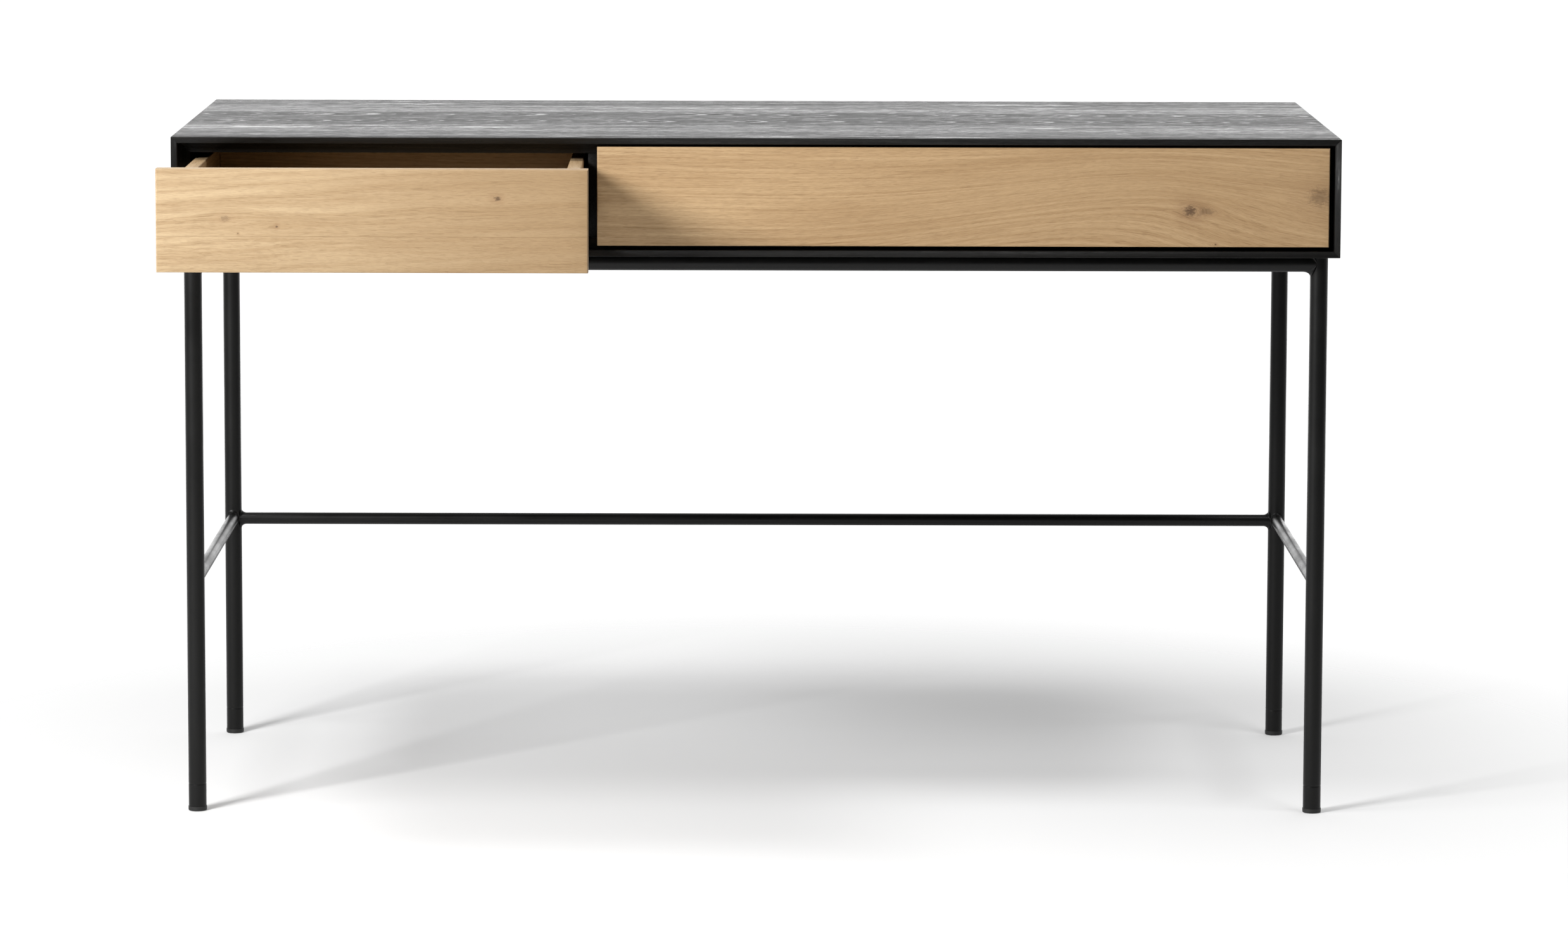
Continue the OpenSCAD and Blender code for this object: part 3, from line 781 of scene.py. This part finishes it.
# Knot: bends the grain round a place, and gives masks of its ragged dark heart and of the halo about it.
knot_group, k_in, k_out = new_group(
    "knot",
    {"Vector": "Vector", "Centre": "Vector", "Reach": "Vector", "Heart": "Vector", "Arch": "Float"},
    {"Vector": "Vector", "Heart": "Float", "Halo": "Float"},
)
away = vector_sum(knot_group, "SUBTRACT", k_in["Vector"], k_in["Centre"])
away = vector_sum(knot_group, "MULTIPLY", away, (1, 1, 0))
reach = vector_sum(knot_group, "DIVIDE", away, k_in["Reach"])
reach_two = vector_sum(knot_group, "DOT_PRODUCT", reach, reach, "Value")
fade = sums(knot_group, "EXPONENT", sums(knot_group, "MULTIPLY", reach_two, -0.20))
up = add_node(knot_group, "ShaderNodeSeparateXYZ", {0: reach}).outputs["Y"]
tall = add_node(knot_group, "ShaderNodeSeparateXYZ", {0: k_in["Reach"]}).outputs["Y"]
apart = sums(knot_group, "DIVIDE", up, sums(knot_group, "ADD", reach_two, 0.85))
push_inputs = {0: k_in["Arch"], 2: apart, 3: 1.0}
push = add_node(knot_group, "ShaderNodeMix", push_inputs, data_type="FLOAT").outputs[0]
push = sums(knot_group, "MULTIPLY", sums(knot_group, "MULTIPLY", push, fade), tall)
shove = add_node(knot_group, "ShaderNodeCombineXYZ", {"Y": push}).outputs[0]
bent = vector_sum(knot_group, "SUBTRACT", k_in["Vector"], shove)
torn = noise(knot_group, stretch(knot_group, k_in["Vector"], 240.0, 520.0), 5.0, 0.75).outputs[0]
heart = vector_sum(knot_group, "DIVIDE", away, k_in["Heart"])
heart_far = vector_sum(knot_group, "LENGTH", heart, output="Value")
heart_far = sums(knot_group, "MULTIPLY_ADD", torn, 2.6, heart_far)
knot_group.links.new(bent, k_out["Vector"])
knot_group.links.new(ramp(knot_group, heart_far, 1.5, 2.4, 1.0, 0.0), k_out["Heart"])
knot_group.links.new(ramp(knot_group, heart_far, 1.8, 4.6, 1.0, 0.0), k_out["Halo"])


def pale_oak(name, turn, shift, pale, deep, knots=(), stave_w=1.0, pith=(0, 0.3, -0.2), lean=0.02,
             ripple=0.0004, curl=0.0, fade=None):
    """Pale oiled oak with knots; fade is a painted shade: where a darkening begins and ends lengthwise, and
    how deep it goes.
    """
    material, tree, output = new_material(name)
    vector = grain_space(tree, turn, shift)
    stave = use_group(tree, stave_group, Vector=vector, Width=stave_w)
    axes = add_node(tree, "ShaderNodeSeparateXYZ", {0: vector}).outputs
    bent, hearts = vector, []
    for centre, reach_size, heart_size, arch, darkness in knots:
        knot = use_group(
            tree, knot_group, Vector=bent, Centre=(*centre, 0), Reach=(*reach_size, 1),
            Heart=(*heart_size, 1), Arch=arch)
        bent = knot["Vector"]
        hearts.append((knot["Heart"], knot["Halo"], darkness))
    below = sums(tree, "LESS_THAN", axes["Y"], 0.0)
    grain = use_group(
        tree, grain_group, Vector=vector_sum(tree, "ADD", bent, stave["Shift"]), Pith=pith,
        Ring_Width=0.0030, Lean=lean, Wander=0.010, Ripple=sums(tree, "MULTIPLY_ADD", below, curl, ripple))
    edge = use_group(tree, edge_group, Radius=0.0015)
    shade = (0.78 * deep[0], 0.72 * deep[1], 0.64 * deep[2])
    colour = mix(tree, grain["Cloud"], (*deep, 1), (*pale, 1))
    colour = mix(tree, sums(tree, "MULTIPLY", grain["Rings"], 0.60), colour, (*shade, 1))
    colour = mix(tree, sums(tree, "MULTIPLY", grain["Fibre"], 0.50), colour, (*pale, 1))
    colour = mix(tree, sums(tree, "MULTIPLY", stave["Tone"], 0.20), colour, (*shade, 1))
    # Painted shade: the board darkens lengthwise where the light from the soft box on the left falls off.
    if fade:
        colour = mix(tree, ramp(tree, axes["X"], fade[0], fade[1], 0.0, fade[2]), colour, (*shade, 1))
    dark = (0.46 * deep[0], 0.40 * deep[1], 0.33 * deep[2])
    colour = mix(tree, sums(tree, "MULTIPLY", stave["Seam"], 0.3), colour, (*dark, 1))
    colour = mix(tree, sums(tree, "MULTIPLY", grain["Pores"], 0.50), colour, (*dark, 1))
    for heart_mask, halo, darkness in hearts:
        colour = mix(tree, sums(tree, "MULTIPLY", halo, 0.5 * darkness), colour, (0.24, 0.135, 0.066, 1))
        colour = mix(tree, sums(tree, "MULTIPLY", heart_mask, darkness), colour, (0.066, 0.036, 0.020, 1))
    # Lighter arrises: partly wear, partly a painted highlight.
    colour = mix(tree, sums(tree, "MULTIPLY", edge["Mask"], 0.3), colour, (0.62, 0.48, 0.33, 1))
    rough = sums(tree, "MULTIPLY_ADD", grain["Pores"], 0.2, ramp(tree, grain["Fibre"], 0, 1, 0.60, 0.50))
    low = sums(tree, "MULTIPLY_ADD", grain["Pores"], -1.0, sums(tree, "MULTIPLY", grain["Fibre"], 0.4))
    cover(tree, output, {
        "Base Color": colour, "Roughness": rough, "Normal": relief(tree, low, 0.6, 0.00008),
        "Specular IOR Level": 0.3})
    return material


box_pale = (0.50, 0.36, 0.21)
box_deep = (0.40, 0.27, 0.145)
oak_box_inward = pale_oak("oak_box_inward", (0, 0, -90), (0.1, 0.02, 0.05), box_pale, box_deep)
oak_box_across = pale_oak("oak_box_across", (-90, 0, 0), (0.4, 0.06, 0.02), box_pale, box_deep)
oak_ply = pale_oak("oak_bottom_face", (0, 0, 0), (0.2, 0, 0), box_pale, box_deep, stave_w=0.12)

for bay in bays:
    floor_low, floor_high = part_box(f"{bay}_drawer_bottom")
    for side in sides:
        node = f"{bay}_drawer_{side}_side"
        low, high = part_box(node)
        board = block(f"{bay}_drawer_{side}_side_board", low, high)
        facing = 1 if side == "left" else -1
        for z in (floor_low.z, floor_high.z):
            slice_at(board, (0, 0, z), (0, 0, 1))
        pull(
            board,
            lambda at, out: out.x * facing > 0.9 and floor_low.z < at.z < floor_high.z,
            (-facing * groove_d, 0, 0),
        )
        ease(board, box_ease, 3)
        fit(board, f"{bay}_drawer", "oak_box", oak_box_inward, node)
    board = block(f"{bay}_drawer_back_board", *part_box(f"{bay}_drawer_back"))
    ease(board, box_ease, 3)
    fit(board, f"{bay}_drawer", "oak_box", oak_box_across, f"{bay}_drawer_back")
    paint_nodes(oak_ply, f"{bay}_drawer_bottom")

# ---- Drawer fronts ----
# Solid oak, oiled, with no handles: the grain runs across the desk and every arris of the face is
# rounded over. The left front is glued up from two staves, the right one has a large knot.
front_round = 0.0015
joint_up = 0.35


def front_knots(bay, spots, shift):
    """Knots placed from the middle of a drawer front, in halves of its width and height, then shifted."""
    low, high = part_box(f"{bay}_drawer_front")
    middle, half = (low + high) / 2, (high - low) / 2
    return [
        ((middle.x + across * half.x + shift[0], middle.z + up * half.z + shift[1]), *rest)
        for (across, up), *rest in spots]


# A knot is its place, the reach of the grain it bends, the size of its heart, how far it arches the
# grain instead of parting it, and its darkness. The last two on the right only arch the grain.
left_spots = (
    ((-0.68, 0.05), (0.030, 0.008), (0.0060, 0.0040), 0.4, 0.35),
    ((-0.62, -0.25), (0.008, 0.002), (0.0009, 0.0008), 0.0, 0.8),
    ((-0.44, -0.12), (0.024, 0.005), (0.0018, 0.0016), 0.1, 0.9),
    ((0.58, 0.45), (0.040, 0.010), (0.0042, 0.0030), 0.3, 0.75),
)
right_spots = (
    ((0.62, -0.27), (0.024, 0.008), (0.0085, 0.0075), 0.2, 0.90),
    ((0.665, -0.30), (0.016, 0.005), (0.0120, 0.0032), 0.2, 0.40),
    ((0.975, 0.02), (0.050, 0.014), (0.0170, 0.0130), 0.7, 0.45),
    ((0.69, -0.95), (0.008, 0.002), (0.0013, 0.0010), 0.0, 0.8),
    ((0.57, 0.0), (0.062, 0.027), (0.0001, 0.0001), 1.0, 0.0),
    ((0.22, -1.2), (0.075, 0.036), (0.0001, 0.0001), 1.0, 0.0),
)
front_low, front_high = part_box("left_drawer_front")
joint_z = front_low.z + joint_up * (front_high.z - front_low.z)
left_shift = (0, -joint_z, 0)
right_shift = (3, 1, 0)
# Each front's fade is a painted shade that darkens it towards the right, away from the soft box on the
# left.
oak_fronts = {
    "left": pale_oak(
        "oak_left_front", (-90, 0, 0), left_shift, (0.51, 0.380, 0.228), (0.40, 0.280, 0.157),
        front_knots("left", left_spots, left_shift), stave_w=0.08, curl=0.0016, fade=(-0.6, -0.18, 0.75)),
    "right": pale_oak(
        "oak_right_front", (-90, 0, 0), right_shift, (0.53, 0.372, 0.207), (0.40, 0.263, 0.136),
        front_knots("right", right_spots, right_shift), stave_w=4.0,
        fade=(right_shift[0] - 0.15, right_shift[0] + 0.2, 0.3)),
}
for bay in bays:
    floor_low, floor_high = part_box(f"{bay}_drawer_bottom")
    low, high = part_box(f"{bay}_drawer_front")
    board = block(f"{bay}_drawer_front_board", low, high)
    edit(board, "VERT", lambda at: at.y < low.y + 1e-5)
    bpy.ops.mesh.bevel(offset=front_round, segments=4)
    bpy.ops.object.mode_set(mode="OBJECT")
    for x in (floor_low.x, floor_high.x):
        slice_at(board, (x, 0, 0), (1, 0, 0))
    for z in (floor_low.z, floor_high.z):
        slice_at(board, (0, 0, z), (0, 0, 1))
    pull(
        board,
        lambda at, out: (
            out.y > 0.9 and floor_low.z < at.z < floor_high.z and floor_low.x < at.x < floor_high.x),
        (0, -groove_d, 0),
    )
    ease(board, 0)
    fit(board, f"{bay}_drawer", "oak_front", oak_fronts[bay], f"{bay}_drawer_front")
